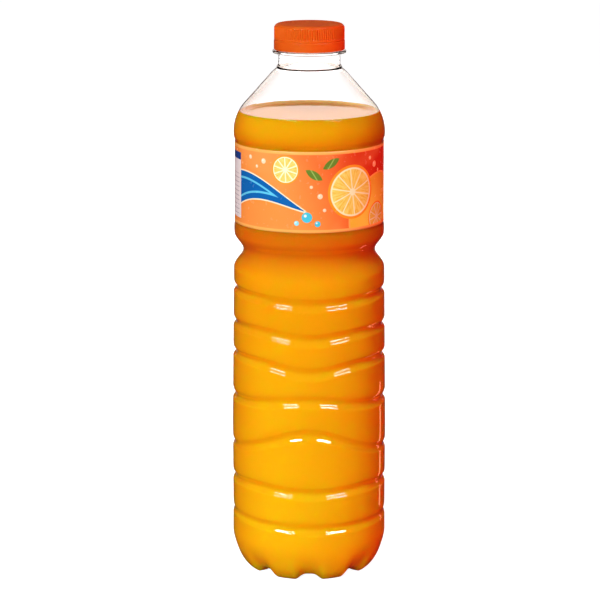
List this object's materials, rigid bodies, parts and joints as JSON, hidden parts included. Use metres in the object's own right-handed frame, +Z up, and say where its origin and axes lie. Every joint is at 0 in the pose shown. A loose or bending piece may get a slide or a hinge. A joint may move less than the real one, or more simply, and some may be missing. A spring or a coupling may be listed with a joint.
{
  "type": "juice bottle",
  "caption": "Tall clear plastic bottle of orange juice drink with wavy ring grooves, a lobed base, a wrap-round label and an orange screw cap.",
  "frame": {"origin": "middle of the standing circle under the bottle, on the surface it stands on", "axes": "+Z up along the bottle towards the cap; the label's front faces -Y"},
  "size_m": [0.0904, 0.0904, 0.3235],
  "materials": {
    "clear_plastic": "clear blown polyester plastic, glossy",
    "juice": "opaque cloudy orange juice drink, smooth liquid",
    "cap_plastic": "satin moulded orange plastic with fine knurls",
    "label_film": null
  },
  "bodies": {
    "root": {"bottle": "clear_plastic", "juice": "juice", "cap": "cap_plastic", "label": "label_film"}
  },
  "joints": []
}
